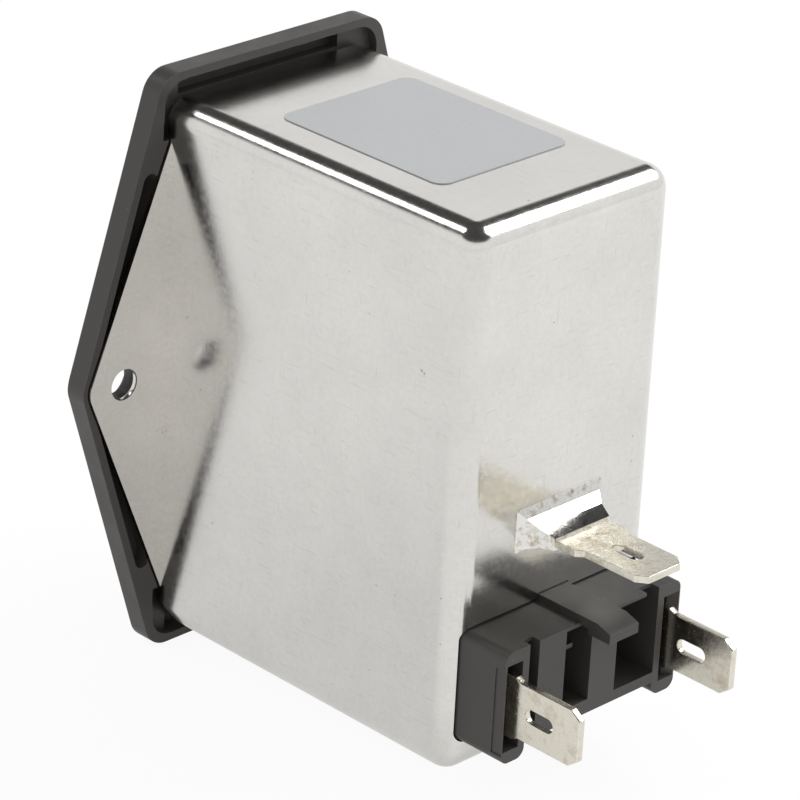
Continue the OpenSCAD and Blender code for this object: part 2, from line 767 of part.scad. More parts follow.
// ---------- rocker switch ----------

module switch_housing() {
  color([0.08, 0.08, 0.08])
    difference() {
      union() {
        box([-switch_w / 2, frame_y, switch_z - switch_h / 2],
            [switch_w / 2, base_end, switch_z + switch_h / 2]);
        along_y(frame_y, front_y)
          translate([0, switch_z])
            round_rect(switch_w + 2 * frame_lip, switch_h + 1.25 * frame_lip, 0.8);
      }
      // curved well that follows the rocker's ends
      intersection() {
        rod_x(pivot_y, switch_z, -cavity_w / 2, cavity_w / 2, cavity_r);
        box([-switch_w, frame_y - 2, switch_z - switch_h], [switch_w, pivot_y, switch_z + switch_h]);
      }
      box([-cavity_w / 2, pivot_y - eps, switch_z - cavity_r], [cavity_w / 2, base_y, switch_z + cavity_r]);
      rod_x(pivot_y, switch_z, -cavity_w / 2 - 1.15, cavity_w / 2 + 1.15, trunnion_r + run);
      for (s = [-1, 1]) {
        box([s * pole_x - blade_w / 2 - 0.05, base_y - 1, switch_z - 0.45], [s * pole_x + blade_w / 2 + 0.05, base_end + 1, switch_z + 0.45]);
        box([s * pole_x - blade_w / 2 - 0.05, base_y - 1, switch_z + contact_z - 0.45],
            [s * pole_x + blade_w / 2 + 0.05, base_end + 1, switch_z + contact_z + 0.45]);
      }
    }
}

// Puts a piece drawn about the rocker's axis into its resting tilt
module at_rocker() {
  translate([0, pivot_y, switch_z])
    rotate([-rocker_tilt, 0, 0])
      children();
}

module rocker() {
  slope = tan(rocker_tilt);
  far = rocker_r + 0.8;
  color([0.07, 0.07, 0.07])
    at_rocker()
      difference() {
        union() {
          // cap with the two flats of its face
          intersection() {
            rod_x(0, 0, -rocker_w / 2, rocker_w / 2, rocker_r);
            along_x(-rocker_w / 2 - 1, rocker_w / 2 + 1)
              polygon([[-valley, 0], [-valley - far * slope, far], [-1.6, far],
                       [-1.6, -far], [-valley - far * slope, -far]]);
          }
          // cheeks down to the axis
          for (s = [-1, 1])
            along_x(s * (rocker_w / 2 - 0.6) - 0.6, s * (rocker_w / 2 - 0.6) + 0.6)
              polygon([[-2, -cheek], [-2, cheek], [0, cheek - 1], [2, 2.2], [2, -2.2], [0, 1 - cheek]]);
          rod_x(0, 0, -rocker_w / 2 - 1.1, rocker_w / 2 + 1.1, trunnion_r);
          for (s = [-1, 1])
            rod_y(s * pole_x, 0, -under - 1, 3.6, post_r);
        }
        // hollow underside between the cheeks, round the two posts
        difference() {
          box([-rocker_w / 2 + 1.2, -under, -rocker_r + 2], [rocker_w / 2 - 1.2, 4, rocker_r - 2]);
          for (s = [-1, 1])
            rod_y(s * pole_x, 0, -under - 1, 3.6, post_r);
        }
        for (s = [-1, 1])
          rod_y(s * pole_x, 0, -under, 5, plunger_r + run);
        // a bar for on and a ring for off, sunk into the two flats
        rocker_marks();
      }
}

// Sunk marks: a bar on the lower flat, a ring on the upper one
module rocker_marks() {
  translate([0, -valley, 0])
    rotate([-rocker_tilt, 0, 0])
      box([-0.4, -1, -5.2], [0.4, 0.25, -2.2]);
  translate([0, -valley, 0])
    rotate([rocker_tilt, 0, 0])
      difference() {
        rod_y(0, 3.8, -1, 0.25, 1.7);
        rod_y(0, 3.8, -2, 1, 1.1);
      }
}

// Spring-loaded pin that slides along the contact lever
module plunger(s) {
  color([0.86, 0.85, 0.8])
    at_rocker() {
      rod_y(s * pole_x, 0, plunger_back, plunger_reach - plunger_r, plunger_r);
      translate([s * pole_x, plunger_reach - plunger_r, 0])
        sphere(plunger_r);
    }
}

module plunger_line() {
  plunger(1);
}

module plunger_neutral() {
  plunger(-1);
}

// Coils of the spring behind a plunger
module plunger_spring(s) {
  wire = 0.25;
  room = plunger_back + under - 2 * wire - 0.1;
  coils = ceil(room / (2 * wire - 0.02)) + 1;
  color([0.6, 0.6, 0.62])
    at_rocker()
      for (k = [0 : coils - 1])
        translate([s * pole_x, wire + 0.05 - under + room * k / (coils - 1), 0])
          rotate([-90, 0, 0])
            rotate_extrude()
              translate([plunger_r - wire - 0.05, 0])
                circle(r = wire, $fn = 24);
}

module plunger_spring_line() {
  plunger_spring(1);
}

module plunger_spring_neutral() {
  plunger_spring(-1);
}

// Contact that tips on the middle terminal
module contact_lever(s) {
  color([0.72, 0.45, 0.3])
    translate([0, lever_y, switch_z])
      rotate([lever_tilt, 0, 0])
        difference() {
          along_x(s * pole_x - 1.6, s * pole_x + 1.6)
            polygon([[-0.9, 1 - contact_z], [-0.4, 1 - contact_z], [-0.4, -1.3], [0.1, -1], [0.1, 1], [-0.4, 1.3],
                     [-0.4, contact_z - 1], [-0.1, contact_z - 0.8], [-0.1, contact_z + 0.8], [-0.9, contact_z + 0.8]]);
          rod_x(0, 0, s * pole_x - 3, s * pole_x + 3, 0.4 + run);
        }
}

module contact_lever_line() {
  contact_lever(1);
}

module contact_lever_neutral() {
  contact_lever(-1);
}

// Middle terminal: its rounded top carries the lever
module switch_common(s) {
  color([0.82, 0.8, 0.74]) {
    rod_x(lever_y, switch_z, s * pole_x - blade_w / 2, s * pole_x + blade_w / 2, 0.4);
    box([s * pole_x - blade_w / 2, lever_y, switch_z - 0.4], [s * pole_x + blade_w / 2, common_end, switch_z + 0.4]);
  }
}

module switch_common_line() {
  switch_common(1);
}

module switch_common_neutral() {
  switch_common(-1);
}

// Outgoing terminal: a contact pad inside, a blade to the board outside
module switch_out(s) {
  pad = lever_y + 0.1 + (contact_z + 0.8) * sin(lever_tilt);
  color([0.82, 0.8, 0.74]) {
    box([s * pole_x - blade_w / 2, pad, switch_z + contact_z - 0.4], [s * pole_x + blade_w / 2, board_y, switch_z + contact_z + 0.4]);
    rod_y(s * pole_x, switch_z + contact_z, pad, base_y, 1.1);
  }
}

module switch_out_line() {
  switch_out(1);
}

module switch_out_neutral() {
  switch_out(-1);
}

// ---------- fuses ----------

module fuse_drawer() {
  top = plate_z + drawer_h / 2;
  low = plate_z - drawer_h / 2;
  color([0.08, 0.08, 0.08])
    difference() {
      union() {
        box([-drawer_w / 2, front_y - drawer_proud, low], [drawer_w / 2, plate_back, top]);
        box([-tray_w / 2, plate_back - eps, tray_low], [tray_w / 2, tray_end, tray_top]);
      }
      // two troughs, open above
      for (s = [-1, 1]) {
        hull_free_trough(s);
      }
      // notch for a finger nail or a screwdriver
      box([-3, front_y - drawer_proud - 1, top - 1.2], [3, front_y + 0.4, top + 1]);
      along_x(3.1 - drawer_w / 2, drawer_w / 2 - 3.1)
        polygon([[front_y - drawer_proud - 0.01, low + 1.6], [front_y - drawer_proud + 0.5, low + 2.1],
                 [front_y - drawer_proud - 0.01, low + 2.6]]);
    }
}

// Trough with a round bottom for one fuse
module hull_free_trough(s) {
  rod_y(s * fuse_x, fuse_z, fuse_y - 0.1, fuse_end + 0.1, cap_r + 0.1);
  box([s * fuse_x - cap_r - 0.1, fuse_y - 0.1, fuse_z], [s * fuse_x + cap_r + 0.1, fuse_end + 0.1, tray_top + 1]);
}

module fuse_tube(s) {
  color([0.85, 0.9, 0.9, 0.4])
    difference() {
      rod_y(s * fuse_x, fuse_z, fuse_y + 0.4, fuse_end - 0.4, glass_r);
      rod_y(s * fuse_x, fuse_z, fuse_y, fuse_end, glass_r - 0.6);
    }
}

module fuse_tube_line() {
  fuse_tube(1);
}

module fuse_tube_neutral() {
  fuse_tube(-1);
}

// Pressed end cap, open towards the middle of the fuse
module fuse_cap(s, rear) {
  y0 = rear ? fuse_end - fuse_cap_len : fuse_y;
  color([0.82, 0.81, 0.78])
    difference() {
      rod_y(s * fuse_x, fuse_z, y0, y0 + fuse_cap_len, cap_r);
      if (rear)
        rod_y(s * fuse_x, fuse_z, y0 - 1, fuse_end - 0.3, glass_r + 0.02);
      else
        rod_y(s * fuse_x, fuse_z, y0 + 0.3, y0 + fuse_cap_len + 1, glass_r + 0.02);
    }
}

module fuse_cap_line_front() {
  fuse_cap(1, false);
}

module fuse_cap_line_rear() {
  fuse_cap(1, true);
}

module fuse_cap_neutral_front() {
  fuse_cap(-1, false);
}

module fuse_cap_neutral_rear() {
  fuse_cap(-1, true);
}

module fuse_wire(s) {
  color([0.75, 0.75, 0.72])
    rod_y(s * fuse_x, fuse_z, fuse_y + 0.3, fuse_end - 0.3, 0.15);
}

module fuse_wire_line() {
  fuse_wire(1);
}

module fuse_wire_neutral() {
  fuse_wire(-1);
}

// Leaf over a fuse's front cap, led over the well to the switch
module fuse_clip_front(s) {
  over = well_top + wall + 0.1;
  end = common_end - 1;
  first = fuse_y + 0.8;
  color([0.78, 0.6, 0.35])
    along_x(s * fuse_x - leaf_w / 2, s * fuse_x + leaf_w / 2)
      polygon([[first, leaf_z + 0.5], [first, leaf_z + 0.5 + leaf_t], [first + 0.8, leaf_z + leaf_t],
               [clip_y, leaf_z + leaf_t], [clip_y, over + leaf_t], [end - leaf_t, over + leaf_t],
               [end - leaf_t, switch_z - 0.4], [end, switch_z - 0.4], [end, over], [clip_y + leaf_t, over],
               [clip_y + leaf_t, leaf_z], [first + 0.7, leaf_z]]);
}

module fuse_clip_line_front() {
  fuse_clip_front(1);
}

module fuse_clip_neutral_front() {
  fuse_clip_front(-1);
}

// Leaf over a fuse's rear cap, led down to the inlet's pin
module fuse_clip_rear(s) {
  first = fuse_end - fuse_cap_len + 0.4;
  color([0.78, 0.6, 0.35]) {
    along_x(s * fuse_x - leaf_w / 2, s * fuse_x + leaf_w / 2)
      polygon([[first, leaf_z + 0.5], [first, leaf_z + 0.5 + leaf_t], [first + 0.8, leaf_z + leaf_t],
               [link_y + leaf_t, leaf_z + leaf_t], [link_y + leaf_t, pin_z - 1.6], [link_y, pin_z - 1.6],
               [link_y, leaf_z], [first + 0.7, leaf_z]]);
    box([min(s * (fuse_x - leaf_w / 2), s * (pin_x + 0.9)), link_y, pin_z - 1.6],
        [max(s * (fuse_x - leaf_w / 2), s * (pin_x + 0.9)), link_y + leaf_t, pin_z + 1.6]);
  }
}

module fuse_clip_line_rear() {
  fuse_clip_rear(1);
}

module fuse_clip_neutral_rear() {
  fuse_clip_rear(-1);
}

// ---------- filter ----------

module board() {
  color([0.1, 0.35, 0.2])
    difference() {
      along_y(board_y, back_y)
        round_rect(board_w, board_h, 1.4);
      box([-earth_tail_w / 2 - 0.3, board_y - 1, earth_z - tab_t / 2 - 0.3],
          [earth_tail_w / 2 + 0.3, back_y + 1, earth_z + tab_t / 2 + 0.3]);
    }
}

module choke_core() {
  color([0.16, 0.16, 0.17])
    translate([0, choke_y, choke_z])
      rotate([90, 0, 0])
        rotate_extrude()
          translate([choke_r, 0])
            square([choke_sec, choke_len], center = true);
}

// Insulating plate between the two windings
module choke_divider() {
  color([0.85, 0.85, 0.8])
    box([-0.4, back_y, choke_z - choke_r + choke_sec / 2 + 0.2],
        [0.4, choke_y + choke_len / 2 + 1.5, choke_z + choke_r - choke_sec / 2 - 0.2]);
}

// Half of the choke: one round turn after another about the core, with a lead at each end
module choke_winding(s) {
  color([0.7, 0.38, 0.16])
    for (k = [0 : turns - 1]) {
      lean = (k / (turns - 1) - 0.5) * 116;
      translate([0, choke_y, choke_z])
        rotate([0, (s > 0 ? 0 : 180) + lean, 0])
          translate([choke_r, 0, 0])
            rotate_extrude($fn = 32)
              translate([turn_r, 0])
                circle(r = wire_d / 2, $fn = 16);
      if (k == 0 || k == turns - 1)
        rod_y(s * choke_r * cos(lean), choke_z - choke_r * sin(lean), back_y, choke_y - turn_r, wire_d / 2 - 0.02);
    }
}

module choke_winding_line() {
  choke_winding(1);
}

module choke_winding_neutral() {
  choke_winding(-1);
}

module x_capacitor() {
  color([0.85, 0.7, 0.2])
    along_y(back_y + 0.3, back_y + 0.3 + xcap_h)
      translate([0, xcap_z])
        round_rect(xcap_w, xcap_t, 0.5);
}

module x_capacitor_leads() {
  color([0.82, 0.81, 0.78])
    for (s = [-1, 1])
      rod_y(s * (xcap_w / 2 - 1.4), xcap_z, back_y, back_y + 0.3, 0.4);
}

module y_capacitor(s) {
  color([0.15, 0.3, 0.6])
    translate([s * ycap_x, back_y + 1 + ycap_d / 2, ycap_z])
      rotate_extrude()
        union() {
          translate([0, -ycap_t / 2])
            square([ycap_d / 2 - ycap_t / 4, ycap_t]);
          translate([0, -ycap_t / 4])
            square([ycap_d / 2, ycap_t / 2]);
          for (k = [-1, 1])
            translate([ycap_d / 2 - ycap_t / 4, k * ycap_t / 4])
              circle(ycap_t / 4);
        }
}

module y_capacitor_line() {
  y_capacitor(1);
}

module y_capacitor_neutral() {
  y_capacitor(-1);
}

module y_leads(s) {
  color([0.82, 0.81, 0.78])
    difference() {
      for (k = [-1, 1])
        rod_y(s * ycap_x + k * ycap_d / 3, ycap_z, back_y, back_y + 1 + ycap_d / 4, 0.3);
      y_capacitor(s);
    }
}

module y_leads_line() {
  y_leads(1);
}

module y_leads_neutral() {
  y_leads(-1);
}

module bleed_resistor() {
  color([0.75, 0.65, 0.45])
    rod_x(bleed_y, bleed_z, -bleed_l / 2, bleed_l / 2, bleed_d / 2);
}

module bleed_leads() {
  color([0.82, 0.81, 0.78])
    for (s = [-1, 1]) {
      rod_x(bleed_y, bleed_z, s * (bleed_l / 2 + 0.875) - 0.875, s * (bleed_l / 2 + 0.875) + 0.875, 0.3);
      rod_y(s * (bleed_l / 2 + 1.45), bleed_z, back_y, bleed_y, 0.3);
    }
}

// Insulating sleeve against the inside of the can
module liner() {
  color([0.9, 0.9, 0.85])
    difference() {
      along_y(cup_y + 1, rear_in - can_r)
        round_rect(in_w - 0.1, in_h - 0.1, 1.85);
      along_y(cup_y, rear_in)
        round_rect(in_w - 0.6, in_h - 0.6, 1.6);
    }
}

can();
bezel();
terminal_block();
load_tab_line();
load_tab_neutral();
earth_tab();
earth_solder();
label();
pin_line();
pin_neutral();
pin_earth();
earth_strap();
switch_housing();
rocker();
plunger_line();
plunger_neutral();
plunger_spring_line();
plunger_spring_neutral();
contact_lever_line();
contact_lever_neutral();
switch_common_line();
switch_common_neutral();
switch_out_line();
switch_out_neutral();
fuse_drawer();
fuse_tube_line();
fuse_tube_neutral();
fuse_cap_line_front();
fuse_cap_line_rear();
fuse_cap_neutral_front();
fuse_cap_neutral_rear();
fuse_wire_line();
fuse_wire_neutral();
fuse_clip_line_front();
fuse_clip_line_rear();
fuse_clip_neutral_front();
fuse_clip_neutral_rear();
board();
choke_core();
choke_divider();
choke_winding_line();
choke_winding_neutral();
x_capacitor();
x_capacitor_leads();
y_capacitor_line();
y_capacitor_neutral();
y_leads_line();
y_leads_neutral();
bleed_resistor();
bleed_leads();
liner();
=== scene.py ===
import json
import math

import bmesh
import bpy
from mathutils import Euler, Matrix, Vector, noise


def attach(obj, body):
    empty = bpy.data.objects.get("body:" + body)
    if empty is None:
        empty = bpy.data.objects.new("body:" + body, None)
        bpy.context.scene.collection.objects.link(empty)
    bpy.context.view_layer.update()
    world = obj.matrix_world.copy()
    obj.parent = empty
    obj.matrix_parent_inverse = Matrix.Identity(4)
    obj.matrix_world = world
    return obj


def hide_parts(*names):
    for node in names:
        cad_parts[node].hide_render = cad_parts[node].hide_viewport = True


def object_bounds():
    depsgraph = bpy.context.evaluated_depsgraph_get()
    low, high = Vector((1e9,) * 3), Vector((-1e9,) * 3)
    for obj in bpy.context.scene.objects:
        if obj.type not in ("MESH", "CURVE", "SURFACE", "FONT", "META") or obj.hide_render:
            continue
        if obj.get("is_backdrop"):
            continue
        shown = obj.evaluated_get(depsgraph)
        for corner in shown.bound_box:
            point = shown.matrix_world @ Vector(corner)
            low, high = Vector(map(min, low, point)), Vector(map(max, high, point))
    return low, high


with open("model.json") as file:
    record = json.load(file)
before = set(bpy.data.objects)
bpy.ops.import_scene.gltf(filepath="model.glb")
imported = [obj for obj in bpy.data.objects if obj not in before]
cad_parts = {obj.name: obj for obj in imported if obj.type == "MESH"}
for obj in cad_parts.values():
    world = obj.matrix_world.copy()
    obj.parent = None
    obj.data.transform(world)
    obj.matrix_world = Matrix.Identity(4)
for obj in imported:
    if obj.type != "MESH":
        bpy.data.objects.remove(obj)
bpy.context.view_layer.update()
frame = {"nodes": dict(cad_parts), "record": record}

bl_info = {
    "name": "Mains Entry Filter",
    "version": (1, 0, 0),
    "blender": (4, 5, 0),
    "location": "View3D > Sidebar > Filter",
    "description": "Dresses the mains entry filter: tinned can, black mouldings, blade tabs, solder and label",
    "category": "Object",
}

MM = 0.001
NODES = frame["nodes"]


# ---------------------------------------------------------------- settings

class FilterSizes(bpy.types.PropertyGroup):
    """Sizes of the fine work that goes over the solids"""

    can_edge: bpy.props.FloatProperty(
        name="Sheet edge", description="Rounding of the can's sheared edges",
        default=0.06 * MM, min=0.0, max=0.2 * MM, unit="LENGTH", precision=5)
    moulding_edge: bpy.props.FloatProperty(
        name="Moulding edge", description="Rounding of the black mouldings' edges",
        default=0.14 * MM, min=0.0, max=0.4 * MM, unit="LENGTH", precision=5)
    tab_edge: bpy.props.FloatProperty(
        name="Tab edge", description="Rounding of the stamped tabs' edges",
        default=0.09 * MM, min=0.0, max=0.2 * MM, unit="LENGTH", precision=5)
    camera_distance: bpy.props.FloatProperty(
        name="Camera distance", description="Distance of the camera from the panel's middle",
        default=0.44458, min=0.2, max=2.0, unit="LENGTH")
    camera_lens: bpy.props.FloatProperty(
        name="Camera lens", description="Focal length on a 36 mm wide sensor",
        default=187.45, min=20.0, max=400.0, unit="CAMERA")


class FilterColours(bpy.types.PropertyGroup):
    """Base colours of the finishes"""

    tin: bpy.props.FloatVectorProperty(
        name="Tinned sheet", description="Colour of the can's tin plate", subtype="COLOR", size=3,
        default=(0.70, 0.685, 0.655), min=0.0, max=1.0)
    blade: bpy.props.FloatVectorProperty(
        name="Blade tabs", description="Colour of the tinned brass tabs", subtype="COLOR", size=3,
        default=(0.72, 0.69, 0.60), min=0.0, max=1.0)
    moulding: bpy.props.FloatVectorProperty(
        name="Mouldings", description="Colour of the black plastic", subtype="COLOR", size=3,
        default=(0.045, 0.041, 0.038), min=0.0, max=1.0)
    label: bpy.props.FloatVectorProperty(
        name="Label", description="Colour of the label film", subtype="COLOR", size=3,
        default=(0.40, 0.405, 0.415), min=0.0, max=1.0)


def sizes():
    return bpy.context.scene.filter_sizes


def colours():
    return bpy.context.scene.filter_colours


# ---------------------------------------------------------------- node helpers

def node(tree, kind, at=(0, 0), **values):
    """Adds a node; keyword values set its properties, and a dict called inputs sets sockets."""
    made = tree.nodes.new(kind)
    made.location = at
    inputs = values.pop("inputs", {})
    for key, value in values.items():
        setattr(made, key, value)
    for key, value in inputs.items():
        made.inputs[key].default_value = value
    return made


def wire(tree, start, end):
    tree.links.new(start, end)


def group_tree(name, sockets_in, sockets_out):
    """A new shader group with the named sockets; returns the tree and its two end nodes."""
    tree = bpy.data.node_groups.new(name, "ShaderNodeTree")
    for label, kind, default in sockets_in:
        socket = tree.interface.new_socket(name=label, in_out="INPUT", socket_type=kind)
        if default is not None:
            socket.default_value = default
    for label, kind in sockets_out:
        tree.interface.new_socket(name=label, in_out="OUTPUT", socket_type=kind)
    return tree, node(tree, "NodeGroupInput", (-900, 0)), node(tree, "NodeGroupOutput", (900, 0))


def math_node(tree, operation, first, second=None, clamp=False, at=(0, 0)):
    made = node(tree, "ShaderNodeMath", at, operation=operation, use_clamp=clamp)
    for index, value in enumerate((first, second)):
        if value is None:
            continue
        if isinstance(value, (int, float)):
            made.inputs[index].default_value = value
        else:
            wire(tree, value, made.inputs[index])
    return made.outputs[0]


def spread(tree, value, low, high, to_low=0.0, to_high=1.0, smooth=False):
    made = node(tree, "ShaderNodeMapRange", clamp=True)
    if smooth:
        made.interpolation_type = "SMOOTHSTEP"
    made.inputs["From Min"].default_value = low
    made.inputs["From Max"].default_value = high
    made.inputs["To Min"].default_value = to_low
    made.inputs["To Max"].default_value = to_high
    wire(tree, value, made.inputs["Value"])
    return made.outputs["Result"]


def noise_of(tree, vector, scale, detail=2.0, roughness=0.5, distortion=0.0):
    made = node(tree, "ShaderNodeTexNoise",
                inputs={"Scale": scale, "Detail": detail, "Roughness": roughness, "Distortion": distortion})
    wire(tree, vector, made.inputs["Vector"])
    return made.outputs["Fac"]


def turned(tree, vector, angles, scale):
    made = node(tree, "ShaderNodeMapping")
    made.inputs["Rotation"].default_value = [math.radians(a) for a in angles]
    made.inputs["Scale"].default_value = scale
    wire(tree, vector, made.inputs["Vector"])
    return made.outputs["Vector"]


def millimetres(tree):
    """Object coordinates in millimetres."""
    place = node(tree, "ShaderNodeTexCoord", (-1400, 0))
    made = node(tree, "ShaderNodeMapping", (-1200, 0))
    made.inputs["Scale"].default_value = (1000.0, 1000.0, 1000.0)
    wire(tree, place.outputs["Object"], made.inputs["Vector"])
    return made.outputs["Vector"]


def mixed(tree, factor, first, second, blend="MIX"):
    made = node(tree, "ShaderNodeMix", data_type="RGBA", blend_type=blend)
    for index, value in ((0, factor), (6, first), (7, second)):
        if isinstance(value, (int, float, tuple, list)):
            made.inputs[index].default_value = value
        else:
            wire(tree, value, made.inputs[index])
    return made.outputs[2]


def rgba(colour, gain=1.0):
    return tuple(min(1.0, c * gain) for c in colour[:3]) + (1.0,)


# ---------------------------------------------------------------- shared effects

def build_scratches():
    """Long fine scratches in several directions: their height, and a mask of the deepest."""
    tree, start, end = group_tree(
        "fine scratches",
        [("Vector", "NodeSocketVector", None), ("Spacing", "NodeSocketFloat", 1.0)],
        [("Height", "NodeSocketFloat"), ("Deep", "NodeSocketFloat")])
    sized = node(tree, "ShaderNodeVectorMath", operation="SCALE")
    wire(tree, start.outputs["Vector"], sized.inputs[0])
    wire(tree, start.outputs["Spacing"], sized.inputs["Scale"])
    total = None
    deep = None
    layers = (
        ((55, 0, 0), (6.0, 0.35, 6.0)), ((-35, 0, 0), (6.0, 0.3, 6.0)), ((0, 0, 62), (0.35, 6.0, 6.0)),
        ((0, 0, -28), (6.0, 0.3, 6.0)), ((0, 38, 0), (6.0, 6.0, 0.35)), ((0, -52, 0), (0.3, 6.0, 6.0)))
    for angles, scale in layers:
        line = noise_of(tree, turned(tree, sized.outputs[0], angles, scale), 1.0, 2.0, 0.6)
        total = line if total is None else math_node(tree, "ADD", total, line)
        thin = spread(tree, line, 0.66, 0.74)
        deep = thin if deep is None else math_node(tree, "MAXIMUM", deep, thin)
    wire(tree, math_node(tree, "MULTIPLY", total, 1.0 / len(layers)), end.inputs["Height"])
    wire(tree, deep, end.inputs["Deep"])
    return tree


def build_mottle():
    """Cloudy change of tone with small dark specks."""
    tree, start, end = group_tree(
        "mottle",
        [("Vector", "NodeSocketVector", None)],
        [("Cloud", "NodeSocketFloat"), ("Fine", "NodeSocketFloat"), ("Specks", "NodeSocketFloat")])
    wire(tree, noise_of(tree, start.outputs["Vector"], 0.11, 3.0, 0.55), end.inputs["Cloud"])
    wire(tree, noise_of(tree, start.outputs["Vector"], 1.7, 4.0, 0.65), end.inputs["Fine"])
    dots = node(tree, "ShaderNodeTexVoronoi", feature="F1", inputs={"Scale": 0.9, "Randomness": 1.0})
    wire(tree, start.outputs["Vector"], dots.inputs["Vector"])
    size = noise_of(tree, start.outputs["Vector"], 0.6, 1.0)
    limit = spread(tree, size, 0.55, 0.8, 0.0, 0.16)
    wire(tree, math_node(tree, "LESS_THAN", dots.outputs["Distance"], limit), end.inputs["Specks"])
    return tree


def build_grain():
    """Fine satin grain of a moulding, with a few dust specks."""
    tree, start, end = group_tree(
        "moulding grain",
        [("Vector", "NodeSocketVector", None), ("Dust", "NodeSocketFloat", 0.5)],
        [("Height", "NodeSocketFloat"), ("Tone", "NodeSocketFloat"), ("Dust", "NodeSocketFloat")])
    fine = noise_of(tree, start.outputs["Vector"], 9.0, 2.0, 0.6)
    broad = noise_of(tree, start.outputs["Vector"], 0.35, 3.0, 0.5)
    dots = node(tree, "ShaderNodeTexVoronoi", feature="F1", inputs={"Scale": 1.1, "Randomness": 1.0})
    wire(tree, start.outputs["Vector"], dots.inputs["Vector"])
    size = spread(tree, noise_of(tree, start.outputs["Vector"], 0.45, 2.0), 0.5, 0.75, 0.0, 0.14)
    limit = math_node(tree, "MULTIPLY", size, start.outputs["Dust"])
    wire(tree, fine, end.inputs["Height"])
    wire(tree, broad, end.inputs["Tone"])
    wire(tree, math_node(tree, "LESS_THAN", dots.outputs["Distance"], limit), end.inputs["Dust"])
    return tree


def build_edge_finder():
    """White along convex and concave edges, within the given width."""
    tree, start, end = group_tree(
        "edge finder", [("Width", "NodeSocketFloat", 0.1 * MM)], [("Edge", "NodeSocketFloat")])
    rounded = node(tree, "ShaderNodeBevel", samples=4)
    wire(tree, start.outputs["Width"], rounded.inputs["Radius"])
    plain = node(tree, "ShaderNodeNewGeometry")
    product = node(tree, "ShaderNodeVectorMath", operation="DOT_PRODUCT")
    wire(tree, rounded.outputs["Normal"], product.inputs[0])
    wire(tree, plain.outputs["Normal"], product.inputs[1])
    wire(tree, spread(tree, product.outputs["Value"], 0.999, 0.93), end.inputs["Edge"])
    return tree


GROUPS = {}


def effect(tree, name, **inputs):
    """Places a shared effect in a material and sets or wires its inputs."""
    made = node(tree, "ShaderNodeGroup", node_tree=GROUPS[name])
    for key, value in inputs.items():
        if isinstance(value, (int, float)):
            made.inputs[key].default_value = value
        else:
            wire(tree, value, made.inputs[key])
    return made.outputs


# ---------------------------------------------------------------- finishes

MATERIALS = {}


def new_material(name):
    material = bpy.data.materials.new(name)
    material.use_nodes = True
    tree = material.node_tree
    tree.nodes.clear()
    shader = node(tree, "ShaderNodeBsdfPrincipled", (500, 0))
    out = node(tree, "ShaderNodeOutputMaterial", (800, 0))
    wire(tree, shader.outputs["BSDF"], out.inputs["Surface"])
    MATERIALS[name] = material
    return tree, shader


def bump(tree, shader, height, strength, distance=0.05 * MM, normal=None):
    made = node(tree, "ShaderNodeBump", inputs={"Strength": strength, "Distance": distance})
    wire(tree, height, made.inputs["Height"])
    if normal is not None:
        wire(tree, normal, made.inputs["Normal"])
    if shader is not None:
        wire(tree, made.outputs["Normal"], shader.inputs["Normal"])
    return made.outputs["Normal"]


def tinned_sheet(name, colour, rough=0.17, spacing=1.0, depth=0.25, tone=0.10):
    """Tin plate: bright, finely scratched and slightly cloudy."""
    tree, shader = new_material(name)
    where = millimetres(tree)
    lines = effect(tree, "fine scratches", Vector=where, Spacing=spacing)
    cloud = effect(tree, "mottle", Vector=where)
    shade = math_node(tree, "ADD", spread(tree, cloud["Cloud"], 0.3, 0.7, 0.0, 0.5),
                      spread(tree, cloud["Fine"], 0.3, 0.7, 0.0, 0.5))
    base = mixed(tree, shade, rgba(colour, 1.0 - tone), rgba(colour, 1.0 + 0.4 * tone))
    base = mixed(tree, math_node(tree, "MULTIPLY", lines["Deep"], 0.35), base, rgba(colour, 0.62))
    base = mixed(tree, math_node(tree, "MULTIPLY", cloud["Specks"], 0.6), base, rgba(colour, 0.4))
    wire(tree, base, shader.inputs["Base Color"])
    shader.inputs["Metallic"].default_value = 1.0
    wire(tree, spread(tree, cloud["Fine"], 0.25, 0.75, rough * 0.75, rough * 1.35), shader.inputs["Roughness"])
    height = math_node(tree, "ADD", lines["Height"], math_node(tree, "MULTIPLY", cloud["Fine"], 0.25))
    bump(tree, shader, height, depth)
    return MATERIALS[name]


def stamped_tin(name, colour, rough=0.2):
    """Tinned brass blade: bright and pitted, with a painted highlight that lightens its edges."""
    tree, shader = new_material(name)
    where = millimetres(tree)
    lines = effect(tree, "fine scratches", Vector=where, Spacing=1.3)
    cloud = effect(tree, "mottle", Vector=where)
    edge = effect(tree, "edge finder", Width=0.16 * MM)
    pits = noise_of(tree, where, 3.2, 3.0, 0.7)
    stain = spread(tree, noise_of(tree, where, 0.5, 4.0, 0.65), 0.5, 0.75)
    base = mixed(tree, stain, rgba(colour), rgba((colour[0] * 0.72, colour[1] * 0.66, colour[2] * 0.55)))
    base = mixed(tree, spread(tree, pits, 0.62, 0.72, 0.0, 0.5), base, rgba(colour, 0.4))
    # painted highlight: the base colour is made lighter along the edges, where a lit chamfer would shine
    base = mixed(tree, math_node(tree, "MULTIPLY", edge["Edge"], 0.5), base, rgba(colour, 1.2))
    wire(tree, base, shader.inputs["Base Color"])
    shader.inputs["Metallic"].default_value = 1.0
    wire(tree, spread(tree, cloud["Fine"], 0.3, 0.7, rough * 0.7, rough * 1.5), shader.inputs["Roughness"])
    height = math_node(tree, "ADD", math_node(tree, "MULTIPLY", lines["Height"], 0.6), pits)
    bump(tree, shader, height, 0.22)
    return MATERIALS[name]


